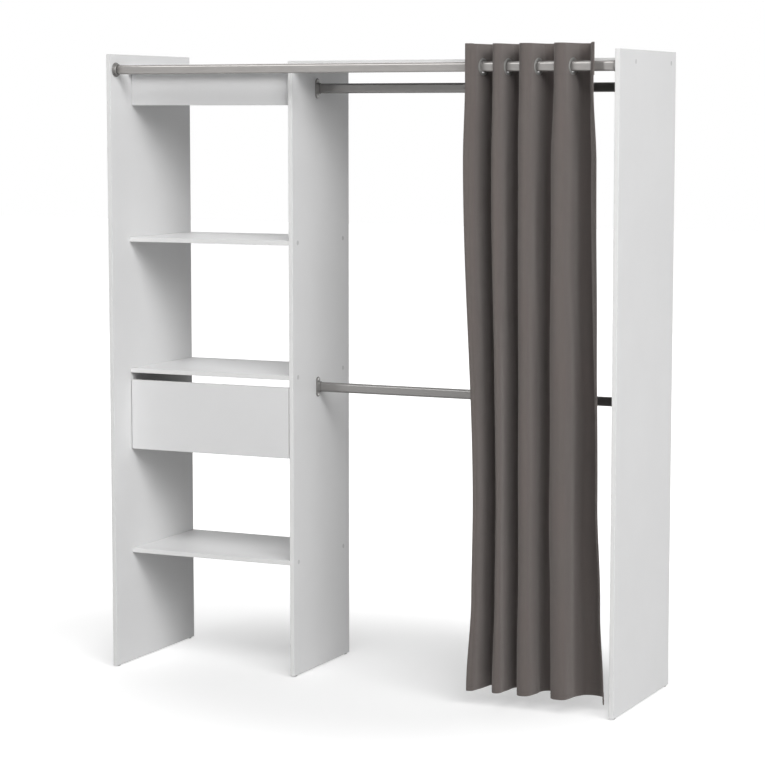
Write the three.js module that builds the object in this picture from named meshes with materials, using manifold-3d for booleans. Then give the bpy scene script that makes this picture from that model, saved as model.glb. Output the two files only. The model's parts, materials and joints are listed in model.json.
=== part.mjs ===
// Open-front wardrobe. A shelf column with one drawer stands on the left. The right side panel, its
// top board and half of each rail pull out sideways as one bay, on telescopic tubes, and a curtain
// hangs on the front rail from eyelets. Lengths are millimetres: +X right, +Y to the back, +Z up.
// The origin is on the floor, under the middle of the whole piece.
import * as THREE from 'three';
import { mergeVertices } from 'three/addons/utils/BufferGeometryUtils.js';
import Module from 'manifold-3d';

const wasm = await Module();
wasm.setup();

// Boards of the carcass
const overallWidth = 1770.7;
const panelHeight = 2030;
const panelDepth = 525.8;
const boardThickness = 15;
const edgeEase = 0.8;
const seatGap = 0.25;

// Shelf column, its heights measured from the foot of the panels to the underside of each board
const columnWidth = 594.1;
const columnSetback = 109.4;
const shelfLowerHeight = 368;
const shelfMiddleHeight = 977;
const shelfUpperHeight = 1414.3;
const topBoardDrop = 47;
const slidingBoardThickness = 22;
const stretcherHeight = 103.5;
const stretcherSetback = 25;

// Drawer
const drawerFrontHeight = 232.3;
const drawerFrontGap = 2.5;
const drawerGripGap = 24.3;
const drawerBoxHeight = 150;
const drawerBoxLift = 14;
const drawerBackSpace = 17.15;
const drawerSideThickness = 12;
const drawerBottomThickness = 3;
const drawerGrooveDepth = 5;
const drawerGrooveLift = 9;
const drawerGrooveGap = 0.3;

// Drawer runners: a lipped channel on the panel, and a hooked member on the drawer inside it
const runnerWidth = 12.7;
const runnerHeight = 36;
const runnerWall = 1.2;
const runnerLip = 5;
const runnerWebGap = 2.1;
const runnerPlay = 0.6;
const runnerLift = 46;
const runnerEndGap = 4;

// Telescopic oval tubes
const tubeHeight = 32;
const tubeWidth = 16;
const tubeWall = 0.7;
const tubePlay = 0.3;
const curtainRailDrop = 50;
const curtainRailSetback = 33;
const curtainOuterLength = 480;
const curtainRailOverlap = 70;
const hangingRailSetback = 288;
const hangingRailUpperDrop = 111;
const hangingRailLowerHeight = 940;
const hangingOuterLength = 575;
const hangingRailOverlap = 140;

// Sockets that carry the tubes
const socketFloor = 2.4;
const socketPlay = 0.3;
const roundSocketWall = 2.4;
const roundSocketRim = 4.8;
const roundSocketBase = 4;
const roundSocketDepth = 11;
const roundSocketEase = 1.2;
const longSocketEar = 16.7;
const longSocketRim = 4.2;
const longSocketBase = 3.2;
const longSocketDepth = 12;
const longSocketWall = 2.2;
const longSocketHoleRadius = 2.3;
const longSocketHoleInset = 7.5;
const cutOverrun = 5;

// Curtain. Each row of shares says where the cloth stands across its spread: its left edge, its
// eight crossings of the rail and its right edge. It lies flat at a crossing and turns between them.
const clothThickness = 2.2;
const curtainSpread = 468;
const curtainPanelGap = 10;
const curtainHeader = 69;
const curtainHemHeight = 52;
const curtainBackClearance = 17;
const keyRowShares = [0.06, 0.18, 0.7, 0.85, 1];
const railStationShares = [0.013, 0.088, 0.184, 0.259, 0.363, 0.471, 0.602, 0.709, 0.825, 0.896];
const neckStationShares = [0, 0.078, 0.175, 0.257, 0.355, 0.469, 0.583, 0.72, 0.845, 0.92];
const waistStationShares = [0.078, 0.117, 0.224, 0.274, 0.376, 0.479, 0.588, 0.738, 0.895, 0.949];
const calfStationShares = [0.068, 0.113, 0.217, 0.274, 0.374, 0.483, 0.596, 0.742, 0.925, 0.975];
const hemStationShares = [0.032, 0.1, 0.194, 0.278, 0.37, 0.487, 0.603, 0.749, 0.959, 1];
const clothRowShares = [0, 0.06, 0.18, 0.44, 0.7, 0.85, 1];
const foldStepShares = [1 / 8, 1 / 4, 1 / 3, 2 / 3, 3 / 4, 7 / 8, 1];
const flatFoldStep = 3;
const foldLeanShare = 0.045;
const foldRoundShare = 0.62;
const freeLegBendShare = 0.4;
const taperStartShare = 0.5;
const taperShare = 0.1;

// Eyelets: rings with a groove that holds the cloth
const eyeletBorePlay = 1.3;
const eyeletNeckWall = 1.6;
const eyeletFlangeRim = 9.2;
const eyeletFlangeThickness = 1.7;
const eyeletEase = 0.9;
const eyeletHoleGap = 0.3;
const eyeletClothGap = 0.35;
const eyeletRailGap = 0.5;

// Glides under the panels, and cover caps that lie flush in the panels over the board fixings
const glideHeight = 4;
const glideRadius = 7;
const glideFootRadius = 5.6;
const glideInset = 22;
const capRadius = 7.5;
const capHeight = 1.1;
const capEase = 0.4;
const capSink = 0.1;
const capFrontInset = 36;
const capBackInset = 46;

const tubeSegments = 4;
const roundSegments = 16;
const socketSegments = 24;
const smallSegments = 24;
const mergeTolerance = 1e-4;

// Places worked out from the sizes above, with X from the middle, Y from the side panels' front edges
const panelFoot = glideHeight + seatGap;
const panelTop = panelFoot + panelHeight;
const leftInnerX = -overallWidth / 2 + boardThickness;
const middleLeftX = leftInnerX + columnWidth;
const middleRightX = middleLeftX + boardThickness;
const rightInnerX = overallWidth / 2 - boardThickness;
const columnDepth = panelDepth - columnSetback;
const fixedBoardTop = panelTop - topBoardDrop;
const middlePanelHeight = fixedBoardTop - panelFoot;
const innerTubeHeight = tubeHeight - 2 * (tubeWall + tubePlay);
const innerTubeWidth = tubeWidth - 2 * (tubeWall + tubePlay);
const drawerBoxDepth = columnDepth - boardThickness - seatGap - drawerBackSpace;
const runnerLength = drawerBoxDepth - 2 * runnerEndGap;
const runnerChannelWidth = runnerWidth - runnerWall - runnerWebGap;
const roundSocketCollarRadius = tubeHeight / 2 + socketPlay + roundSocketWall;
const roundSocketRadius = roundSocketCollarRadius + roundSocketRim;
const eyeletBoreRadius = tubeHeight / 2 + eyeletBorePlay;
const eyeletNeckRadius = eyeletBoreRadius + eyeletNeckWall;
const eyeletFlangeRadius = eyeletBoreRadius + eyeletFlangeRim;
const curtainRailZ = panelTop - curtainRailDrop;
const foldHalfDepth = columnSetback - curtainRailSetback - curtainBackClearance - clothThickness / 2;
const frontY = curtainRailSetback - foldHalfDepth - clothThickness / 2;

// Finishes
const whiteBoard = new THREE.MeshStandardMaterial({ color: 0xe6e6e4, roughness: 0.5, metalness: 0 });
const drawerBoard = new THREE.MeshStandardMaterial({ color: 0xdcdcda, roughness: 0.6, metalness: 0 });
const satinMetal = new THREE.MeshStandardMaterial({ color: 0xa7a29e, roughness: 0.35, metalness: 0.9 });
const darkMetal = new THREE.MeshStandardMaterial({ color: 0x6f6f70, roughness: 0.45, metalness: 0.8 });
const runnerSteel = new THREE.MeshStandardMaterial({ color: 0xb4b6b8, roughness: 0.4, metalness: 0.8 });
const cloth = new THREE.MeshStandardMaterial({ color: 0x655f5c, roughness: 0.95, metalness: 0 });
const capPlastic = new THREE.MeshStandardMaterial({ color: 0xc4c4c2, roughness: 0.6, metalness: 0 });
const glidePlastic = new THREE.MeshStandardMaterial({ color: 0x55534f, roughness: 0.7, metalness: 0 });

const wardrobe = new THREE.Group();
wardrobe.position.y = -(frontY + panelDepth) / 2;

function addPiece(name, geometry, material, x, y, z) {
  const mesh = new THREE.Mesh(geometry, material);
  mesh.name = name;
  mesh.position.set(x, y, z);
  wardrobe.add(mesh);
  return mesh;
}

// Closed solids for cutting, and back again
function toSolid(geometry) {
  const bare = geometry.clone();
  bare.deleteAttribute('normal');
  bare.deleteAttribute('uv');
  const merged = mergeVertices(bare, mergeTolerance);
  return new wasm.Manifold(new wasm.Mesh({
    numProp: 3,
    vertProperties: new Float32Array(merged.attributes.position.array),
    triVerts: new Uint32Array(merged.index.array),
  }));
}

function toGeometry(solid) {
  const mesh = solid.getMesh();
  const points = new Float32Array((mesh.vertProperties.length / mesh.numProp) * 3);
  for (let i = 0; i < points.length / 3; i += 1) {
    for (let axis = 0; axis < 3; axis += 1) {
      points[3 * i + axis] = mesh.vertProperties[i * mesh.numProp + axis];
    }
  }
  const geometry = new THREE.BufferGeometry();
  geometry.setAttribute('position', new THREE.BufferAttribute(points, 3));
  geometry.setIndex(Array.from(mesh.triVerts));
  geometry.computeVertexNormals();
  return geometry;
}

function cutAway(geometry, tools) {
  let solid = toSolid(geometry);
  for (const tool of tools) {
    solid = solid.subtract(toSolid(tool));
  }
  return toGeometry(solid);
}

// A shape drawn in Y and Z, pushed along +X from zero
function alongX(shape, length) {
  const geometry = new THREE.ExtrudeGeometry(shape, {
    depth: length,
    bevelEnabled: false,
    curveSegments: tubeSegments,
  });
  geometry.rotateX(Math.PI / 2);
  geometry.rotateZ(Math.PI / 2);
  return geometry;
}

// A shape drawn in X and Z, pushed along +Y from zero
function alongY(shape, length) {
  const geometry = new THREE.ExtrudeGeometry(shape, { depth: length, bevelEnabled: false });
  geometry.rotateX(Math.PI / 2);
  geometry.translate(0, length, 0);
  return geometry;
}

// A sawn board with all its edges eased, its low corner at zero
function board(width, depth, height) {
  const ease = edgeEase;
  const shape = new THREE.Shape([
    new THREE.Vector2(ease, 0),
    new THREE.Vector2(width - ease, 0),
    new THREE.Vector2(width, ease),
    new THREE.Vector2(width, depth - ease),
    new THREE.Vector2(width - ease, depth),
    new THREE.Vector2(ease, depth),
    new THREE.Vector2(0, depth - ease),
    new THREE.Vector2(0, ease),
  ]);
  const geometry = new THREE.ExtrudeGeometry(shape, {
    depth: height - 2 * ease,
    bevelEnabled: true,
    bevelThickness: ease,
    bevelSize: ease,
    bevelOffset: -ease,
    bevelSegments: 1,
  });
  geometry.translate(0, 0, ease);
  return geometry;
}

function ovalOutline(path, width, height) {
  const radius = width / 2;
  const rise = height / 2 - radius;
  path.absarc(0, rise, radius, 0, Math.PI, false);
  path.absarc(0, -rise, radius, Math.PI, 2 * Math.PI, false);
  path.closePath();
  return path;
}

// Heights of the cover caps above the foot of the panels, in the middle of the board they are over
const shelfCapHeights = {
  lower: shelfLowerHeight + boardThickness / 2,
  middle: shelfMiddleHeight + boardThickness / 2,
  upper: shelfUpperHeight + boardThickness / 2,
};
const slidingCapHeights = {
  top: fixedBoardTop + seatGap + slidingBoardThickness / 2 - panelFoot,
};
const capPlaces = { front: columnSetback + capFrontInset, back: panelDepth - capBackInset };

// A panel with shallow pockets for its cover caps, in the face at faceX
function panelWithPockets(depth, height, frontY, faceX, capHeights) {
  const tools = [];
  const pocketDepth = 2 * (capSink + capHeight + seatGap);
  for (const z of Object.values(capHeights)) {
    for (const y of Object.values(capPlaces)) {
      const tool = new THREE.CylinderGeometry(
        capRadius + seatGap, capRadius + seatGap, pocketDepth, smallSegments,
      );
      tool.rotateZ(Math.PI / 2);
      tool.translate(faceX, y - frontY, z);
      tools.push(tool);
    }
  }
  return cutAway(board(boardThickness, depth, height), tools);
}

function makePanels() {
  const left = panelWithPockets(panelDepth, panelHeight, 0, 0, shelfCapHeights);
  addPiece('left_side_panel', left, whiteBoard, leftInnerX - boardThickness, 0, panelFoot);
  const right = panelWithPockets(panelDepth, panelHeight, 0, boardThickness, slidingCapHeights);
  addPiece('right_side_panel', right, whiteBoard, rightInnerX, 0, panelFoot);
  const middle = panelWithPockets(
    columnDepth, middlePanelHeight, columnSetback, boardThickness, shelfCapHeights,
  );
  addPiece('middle_panel', middle, whiteBoard, middleLeftX, columnSetback, panelFoot);
}

function makeColumnBoards() {
  const width = columnWidth - 2 * seatGap;
  const x = leftInnerX + seatGap;
  const heights = {
    shelf_lower: panelFoot + shelfLowerHeight,
    shelf_middle: panelFoot + shelfMiddleHeight,
    shelf_upper: panelFoot + shelfUpperHeight,
    top_board_fixed: fixedBoardTop - boardThickness,
  };
  for (const [name, z] of Object.entries(heights)) {
    addPiece(name, board(width, columnDepth, boardThickness), whiteBoard, x, columnSetback, z);
  }
  const stretcherZ = fixedBoardTop - boardThickness - seatGap - stretcherHeight;
  const stretcher = board(width, boardThickness, stretcherHeight);
  addPiece('top_stretcher', stretcher, whiteBoard, x, columnSetback + stretcherSetback, stretcherZ);
}

// The bay's own top board lies on the middle panel and slides over the fixed board
function makeSlidingBoard() {
  const width = rightInnerX - seatGap - middleLeftX;
  const slab = board(width, columnDepth, slidingBoardThickness);
  addPiece('top_board_sliding', slab, whiteBoard, middleLeftX, columnSetback, fixedBoardTop + seatGap);
}

function makeDrawer() {
  const frontZ = panelFoot + shelfMiddleHeight - drawerGripGap - drawerFrontHeight;
  const frontWidth = columnWidth - 2 * drawerFrontGap;
  const boxZ = frontZ + drawerBoxLift;
  const boxY = columnSetback + boardThickness + seatGap;
  const sideSpace = runnerWidth + 2 * seatGap;
  const sideX = leftInnerX + sideSpace;
  const boxWidth = columnWidth - 2 * sideSpace;
  const grooveHeight = drawerBottomThickness + 2 * drawerGrooveGap;
  const grooveZ = drawerGrooveLift;
  const innerWidth = boxWidth - 2 * drawerSideThickness;

  const bottomWidth = innerWidth + 2 * (drawerGrooveDepth - drawerGrooveGap);
  const bottomX = sideX + drawerSideThickness - drawerGrooveDepth + drawerGrooveGap;
  const bottomY = boxY + seatGap;
  const bottomDepth = drawerBoxDepth - drawerSideThickness - 2 * seatGap;
  const bottomGeometry = new THREE.BoxGeometry(bottomWidth, bottomDepth, drawerBottomThickness);
  bottomGeometry.translate(bottomWidth / 2, bottomDepth / 2, drawerBottomThickness / 2);
  const bottomZ = boxZ + grooveZ + drawerGrooveGap;
  addPiece('drawer_bottom', bottomGeometry, drawerBoard, bottomX, bottomY, bottomZ);

  const front = board(frontWidth, boardThickness, drawerFrontHeight);
  addPiece('drawer_front', front, whiteBoard, leftInnerX + drawerFrontGap, columnSetback, frontZ);

  // Each side has its groove on the face that looks into the box
  const t = drawerSideThickness;
  const g = drawerSideThickness - drawerGrooveDepth;
  const leftOutline = new THREE.Shape([
    new THREE.Vector2(0, 0),
    new THREE.Vector2(t, 0),
    new THREE.Vector2(t, grooveZ),
    new THREE.Vector2(g, grooveZ),
    new THREE.Vector2(g, grooveZ + grooveHeight),
    new THREE.Vector2(t, grooveZ + grooveHeight),
    new THREE.Vector2(t, drawerBoxHeight),
    new THREE.Vector2(0, drawerBoxHeight),
  ]);
  const rightOutline = new THREE.Shape(
    leftOutline.getPoints().map((point) => new THREE.Vector2(t - point.x, point.y)).reverse(),
  );
  const rightX = sideX + boxWidth - drawerSideThickness;
  addPiece('drawer_side_left', alongY(leftOutline, drawerBoxDepth), drawerBoard, sideX, boxY, boxZ);
  addPiece('drawer_side_right', alongY(rightOutline, drawerBoxDepth), drawerBoard, rightX, boxY, boxZ);

  // The back stands between the sides, on the end of the bottom's groove
  const backZ = boxZ + grooveZ + grooveHeight;
  const backHeight = drawerBoxHeight - grooveZ - grooveHeight;
  const backY = boxY + drawerBoxDepth - drawerSideThickness;
  const back = board(innerWidth - 2 * seatGap, drawerSideThickness, backHeight);
  const backX = sideX + drawerSideThickness + seatGap;
  addPiece('drawer_back', back, drawerBoard, backX, backY, backZ);
  makeRunners(boxY, boxZ + runnerLift);
}

// The fixed channel turns lips in towards the drawer, and the moving member hooks behind them
function makeRunners(boxY, z) {
  const w = runnerWall;
  const h = runnerHeight;
  const c = runnerChannelWidth;
  const lip = runnerLip;
  const channel = [
    [0, 0], [c, 0], [c, lip], [c - w, lip], [c - w, w], [w, w],
    [w, h - w], [c - w, h - w], [c - w, h - lip], [c, h - lip], [c, h], [0, h],
  ];
  const webX = runnerWidth - w;
  const armZ = lip + runnerPlay;
  const hookX = w + runnerPlay;
  const hookZ = w + runnerPlay;
  const member = [
    [webX + w, armZ], [webX + w, h - armZ], [hookX + w, h - armZ], [hookX + w, h - hookZ],
    [hookX, h - hookZ], [hookX, h - armZ - w], [webX, h - armZ - w], [webX, armZ + w],
    [hookX, armZ + w], [hookX, hookZ], [hookX + w, hookZ], [hookX + w, armZ],
  ];
  const y = boxY + runnerEndGap;
  for (const [side, sign, faceX] of [['left', 1, leftInnerX], ['right', -1, middleLeftX]]) {
    for (const [part, outline] of [['runner_channel', channel], ['runner_member', member]]) {
      const points = outline.map(([u, v]) => new THREE.Vector2(sign * u, v));
      const geometry = alongY(new THREE.Shape(points), runnerLength);
      addPiece(`${part}_${side}`, geometry, runnerSteel, faceX + sign * seatGap, y, z);
    }
  }
}

function tubeGeometry(width, height, length) {
  const shape = ovalOutline(new THREE.Shape(), width, height);
  shape.holes.push(ovalOutline(new THREE.Path(), width - 2 * tubeWall, height - 2 * tubeWall));
  return alongX(shape, length);
}

// A turned cup for one end of the curtain rail, its foot at zero and its mouth towards +X
function roundSocket(width, height) {
  const profile = [
    new THREE.Vector2(0, 0),
    new THREE.Vector2(roundSocketRadius, 0),
    new THREE.Vector2(roundSocketRadius, roundSocketBase - roundSocketEase),
    new THREE.Vector2(roundSocketRadius - roundSocketEase, roundSocketBase),
    new THREE.Vector2(roundSocketCollarRadius, roundSocketBase),
    new THREE.Vector2(roundSocketCollarRadius, roundSocketDepth - roundSocketEase),
    new THREE.Vector2(roundSocketCollarRadius - roundSocketEase, roundSocketDepth),
    new THREE.Vector2(0, roundSocketDepth),
  ];
  const cup = new THREE.LatheGeometry(profile, socketSegments);
  cup.rotateZ(-Math.PI / 2);
  return cutAway(cup, [socketPocket(width, height, roundSocketDepth)]);
}

function socketPocket(width, height, depth) {
  const outline = ovalOutline(new THREE.Shape(), width + 2 * socketPlay, height + 2 * socketPlay);
  const pocket = alongX(outline, depth - socketFloor + cutOverrun);
  pocket.translate(socketFloor, 0, 0);
  return pocket;
}

// A long plate with an oval collar for one end of a hanging rail, its mouth towards +X
function longSocket(width, height) {
  const plateWidth = tubeWidth + 2 * (socketPlay + longSocketRim);
  const plateHeight = tubeHeight + 2 * (socketPlay + longSocketEar);
  const plate = alongX(ovalOutline(new THREE.Shape(), plateWidth, plateHeight), longSocketBase);
  const collarWidth = width + 2 * (socketPlay + longSocketWall);
  const collarHeight = height + 2 * (socketPlay + longSocketWall);
  const collar = alongX(ovalOutline(new THREE.Shape(), collarWidth, collarHeight), longSocketDepth);
  const joined = toGeometry(toSolid(plate).add(toSolid(collar)));
  const tools = [socketPocket(width, height, longSocketDepth)];
  for (const sign of [-1, 1]) {
    const drill = new THREE.CylinderGeometry(
      longSocketHoleRadius, longSocketHoleRadius, longSocketBase + 2 * cutOverrun, smallSegments,
    );
    drill.rotateZ(Math.PI / 2);
    drill.translate(longSocketBase / 2, 0, sign * (plateHeight / 2 - longSocketHoleInset));
    tools.push(drill);
  }
  return cutAway(joined, tools);
}

// A tube's far end stands just off its socket's floor
function addOuterTube(name, fromX, toX, y, z) {
  addPiece(name, tubeGeometry(tubeWidth, tubeHeight, toX - fromX), satinMetal, fromX, y, z);
}

function addInnerTube(name, fromX, toX, y, z) {
  const geometry = tubeGeometry(innerTubeWidth, innerTubeHeight, toX - fromX);
  addPiece(name, geometry, satinMetal, fromX, y, z);
}

function addSocket(name, geometry, faceX, sign, y, z) {
  const mesh = addPiece(name, geometry, darkMetal, faceX + sign * seatGap, y, z);
  mesh.rotation.z = sign > 0 ? 0 : Math.PI;
}

function makeRails() {
  const endGap = seatGap + socketFloor + socketPlay;
  const rightEnd = rightInnerX - endGap;
  const curtainJoint = rightInnerX - curtainOuterLength;
  const y = curtainRailSetback;
  const z = curtainRailZ;
  const innerEnd = curtainJoint + curtainRailOverlap;
  addInnerTube('curtain_rail_inner', leftInnerX + endGap, innerEnd, y, z);
  addOuterTube('curtain_rail_outer', curtainJoint, rightEnd, y, z);
  const innerSocket = roundSocket(innerTubeWidth, innerTubeHeight);
  addSocket('curtain_socket_left', innerSocket, leftInnerX, 1, y, z);
  addSocket('curtain_socket_right', roundSocket(tubeWidth, tubeHeight), rightInnerX, -1, y, z);

  const hangingJoint = middleRightX + hangingOuterLength;
  const railHeights = {
    upper: panelTop - hangingRailUpperDrop,
    lower: panelFoot + hangingRailLowerHeight,
  };
  for (const [level, railZ] of Object.entries(railHeights)) {
    const railY = hangingRailSetback;
    const outerStart = middleRightX + endGap;
    const innerStart = hangingJoint - hangingRailOverlap;
    addOuterTube(`hanging_rail_${level}_outer`, outerStart, hangingJoint, railY, railZ);
    addInnerTube(`hanging_rail_${level}_inner`, innerStart, rightEnd, railY, railZ);
    const leftSocket = longSocket(tubeWidth, tubeHeight);
    const rightSocket = longSocket(innerTubeWidth, innerTubeHeight);
    addSocket(`hanging_socket_${level}_left`, leftSocket, middleRightX, 1, railY, railZ);
    addSocket(`hanging_socket_${level}_right`, rightSocket, rightInnerX, -1, railY, railZ);
  }
}

// Where the cloth stands across its spread at one height, eased from one key row to the next
function stationsAt(rowShare) {
  const tables = [
    railStationShares, neckStationShares, waistStationShares, calfStationShares, hemStationShares,
  ];
  let key = 0;
  while (key < tables.length - 2 && rowShare > keyRowShares[key + 1]) {
    key += 1;
  }
  const blend = THREE.MathUtils.smoothstep(rowShare, keyRowShares[key], keyRowShares[key + 1]);
  const left = rightInnerX - curtainPanelGap - curtainSpread;
  return tables[key].map((share, i) => {
    return left + curtainSpread * (share + (tables[key + 1][i] - share) * blend);
  });
}

// X of the cloth at a phase of its folds: half a turn from one crossing of the rail to the next,
// leaning so that the cloth crosses the rail nearly square and turns in broad ridges. Past the last
// crossing it runs almost straight to its free edge, which points to the front.
function foldX(stations, phase) {
  const place = phase / Math.PI + 1 / 2;
  const index = Math.min(Math.floor(place), stations.length - 2);
  if (index === stations.length - 2) {
    const out = foldYShare(phase);
    const bend = 1 - freeLegBendShare + freeLegBendShare * out;
    return stations[index] + (stations[index + 1] - stations[index]) * out * bend;
  }
  const first = index === 0 ? 1 / 2 : 0;
  const span = index === 0 ? 1 / 2 : 1;
  const reach = (stations[index + 1] - stations[index]) / span;
  return stations[index] + reach * (place - index - first + foldLeanShare * Math.sin(2 * phase));
}

// Y of the cloth as a share of the fold's half depth: a wave with slightly flattened ridges
function foldYShare(phase) {
  const across = Math.cos(phase);
  return across / Math.hypot(across, foldRoundShare * Math.sin(phase));
}

// Plan line of the cloth at one height, as a share of the way from its top edge down to its hem.
// The folds get a little shallower towards the hem.
function foldLine(rowShare) {
  const stations = stationsAt(rowShare);
  const taper = taperShare * THREE.MathUtils.smoothstep(rowShare, taperStartShare, 1);
  const depth = foldHalfDepth * (1 - taper);
  const phases = [0];
  for (let turn = 0; turn < stations.length - 2; turn += 1) {
    for (const share of foldStepShares) {
      phases.push((turn + share) * Math.PI);
    }
  }
  return phases.map((phase) => {
    const y = curtainRailSetback - depth * foldYShare(phase);
    return new THREE.Vector2(foldX(stations, phase), y);
  });
}

// Both faces of the cloth, half its thickness to either side of the plan line
function offsetLine(line, distance) {
  return line.map((point, i) => {
    const before = line[Math.max(i - 1, 0)];
    const after = line[Math.min(i + 1, line.length - 1)];
    const back = new THREE.Vector2().subVectors(point, before).normalize();
    const ahead = new THREE.Vector2().subVectors(after, point).normalize();
    const along = new THREE.Vector2().addVectors(back, ahead).normalize();
    const half = i > 0 && i < line.length - 1 ? along.dot(ahead) : 1;
    const push = distance / half;
    return new THREE.Vector2(point.x - along.y * push, point.y + along.x * push);
  });
}

function clothGeometry() {
  const topZ = curtainRailZ + curtainHeader;
  const hemZ = curtainHemHeight;
  const positions = [];
  const rows = clothRowShares.length;
  let columns = 0;
  for (const side of [-1, 1]) {
    for (const rowShare of clothRowShares) {
      const line = offsetLine(foldLine(rowShare), (side * clothThickness) / 2);
      const z = topZ + (hemZ - topZ) * rowShare;
      line.forEach((point) => positions.push(point.x, point.y, z));
      columns = line.length;
    }
  }
  const index = [];
  const at = (side, row, column) => (side * rows + row) * columns + column;
  const quad = (a, b, c, d) => index.push(a, b, c, a, c, d);
  for (let row = 0; row < rows - 1; row += 1) {
    const low = row + 1;
    for (let column = 0; column < columns - 1; column += 1) {
      const next = column + 1;
      quad(at(0, row, column), at(0, low, column), at(0, low, next), at(0, row, next));
      quad(at(1, row, column), at(1, row, next), at(1, low, next), at(1, low, column));
    }
    const end = columns - 1;
    quad(at(0, row, 0), at(1, row, 0), at(1, low, 0), at(0, low, 0));
    quad(at(0, row, end), at(0, low, end), at(1, low, end), at(1, row, end));
  }
  const base = rows - 1;
  for (let column = 0; column < columns - 1; column += 1) {
    const next = column + 1;
    quad(at(0, 0, column), at(0, 0, next), at(1, 0, next), at(1, 0, column));
    quad(at(0, base, column), at(1, base, column), at(1, base, next), at(0, base, next));
  }
  const geometry = new THREE.BufferGeometry();
  geometry.setAttribute('position', new THREE.Float32BufferAttribute(positions, 3));
  geometry.setIndex(index);
  return geometry;
}

// One ring: a bore, and two flanges with the cloth's groove between them
function eyeletGeometry() {
  const groove = clothThickness / 2 + eyeletClothGap;
  const outer = groove + eyeletFlangeThickness;
  const profile = [
    new THREE.Vector2(eyeletBoreRadius, -outer),
    new THREE.Vector2(eyeletFlangeRadius - eyeletEase, -outer),
    new THREE.Vector2(eyeletFlangeRadius, -groove),
    new THREE.Vector2(eyeletNeckRadius, -groove),
    new THREE.Vector2(eyeletNeckRadius, groove),
    new THREE.Vector2(eyeletFlangeRadius, groove),
    new THREE.Vector2(eyeletFlangeRadius - eyeletEase, outer),
    new THREE.Vector2(eyeletBoreRadius, outer),
    new THREE.Vector2(eyeletBoreRadius, -outer),
  ];
  const ring = new THREE.LatheGeometry(profile, roundSegments);
  ring.rotateZ(Math.PI / 2);
  return ring;
}

// Each ring hangs on the rail and stands square to the cloth where that crosses the rail
function makeCurtain() {
  const line = foldLine(0);
  const ringZ = curtainRailZ - (eyeletBoreRadius - tubeHeight / 2 - eyeletRailGap);
  const stepsPerTurn = foldStepShares.length;
  const holeRadius = eyeletNeckRadius / Math.cos(Math.PI / roundSegments) + eyeletHoleGap;
  const drills = [];
  for (let i = 0; i < railStationShares.length - 2; i += 1) {
    const before = line[i * stepsPerTurn + flatFoldStep];
    const after = line[i * stepsPerTurn + flatFoldStep + 1];
    const centre = new THREE.Vector2().addVectors(before, after).multiplyScalar(1 / 2);
    const turn = Math.atan2(after.y - before.y, after.x - before.x) - Math.PI / 2;
    const ring = addPiece(`eyelet_${i + 1}`, eyeletGeometry(), satinMetal, centre.x, centre.y, ringZ);
    ring.rotation.z = turn;
    const drill = new THREE.CylinderGeometry(holeRadius, holeRadius, 2 * cutOverrun, roundSegments);
    drill.rotateZ(Math.PI / 2);
    drill.rotateZ(turn);
    drill.translate(centre.x, centre.y, ringZ);
    drills.push(drill);
  }
  addPiece('curtain', cutAway(clothGeometry(), drills), cloth, 0, 0, 0);
}

function makeGlides() {
  const profile = [
    new THREE.Vector2(0, 0),
    new THREE.Vector2(glideFootRadius, 0),
    new THREE.Vector2(glideRadius, glideHeight / 2),
    new THREE.Vector2(glideRadius, glideHeight),
    new THREE.Vector2(0, glideHeight),
  ];
  const panels = {
    left: [leftInnerX - boardThickness / 2, 0],
    middle: [middleLeftX + boardThickness / 2, columnSetback],
    right: [rightInnerX + boardThickness / 2, 0],
  };
  for (const [name, [x, panelY]] of Object.entries(panels)) {
    const places = { front: panelY + glideInset, back: panelDepth - glideInset };
    for (const [end, y] of Object.entries(places)) {
      const glide = new THREE.LatheGeometry(profile, smallSegments);
      glide.rotateX(Math.PI / 2);
      addPiece(`glide_${name}_${end}`, glide, glidePlastic, x, y, 0);
    }
  }
}

function capGeometry() {
  const profile = [
    new THREE.Vector2(0, 0),
    new THREE.Vector2(capRadius, 0),
    new THREE.Vector2(capRadius, capHeight - capEase),
    new THREE.Vector2(capRadius - capEase, capHeight),
    new THREE.Vector2(0, capHeight),
  ];
  return new THREE.LatheGeometry(profile, smallSegments);
}

function makeCaps() {
  const inset = capSink + capHeight;
  const panels = {
    left: [leftInnerX - boardThickness + inset, -1, shelfCapHeights],
    middle: [middleRightX - inset, 1, shelfCapHeights],
    right: [rightInnerX + boardThickness - inset, 1, slidingCapHeights],
  };
  for (const [panel, [x, sign, heights]] of Object.entries(panels)) {
    for (const [level, height] of Object.entries(heights)) {
      for (const [end, y] of Object.entries(capPlaces)) {
        const cap = capGeometry();
        cap.rotateZ((-sign * Math.PI) / 2);
        addPiece(`cap_${panel}_${level}_${end}`, cap, capPlastic, x, y, panelFoot + height);
      }
    }
  }
}

makePanels();
makeColumnBoards();
makeSlidingBoard();
makeDrawer();
makeRails();
makeCurtain();
makeGlides();
makeCaps();

export default wardrobe;
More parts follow.
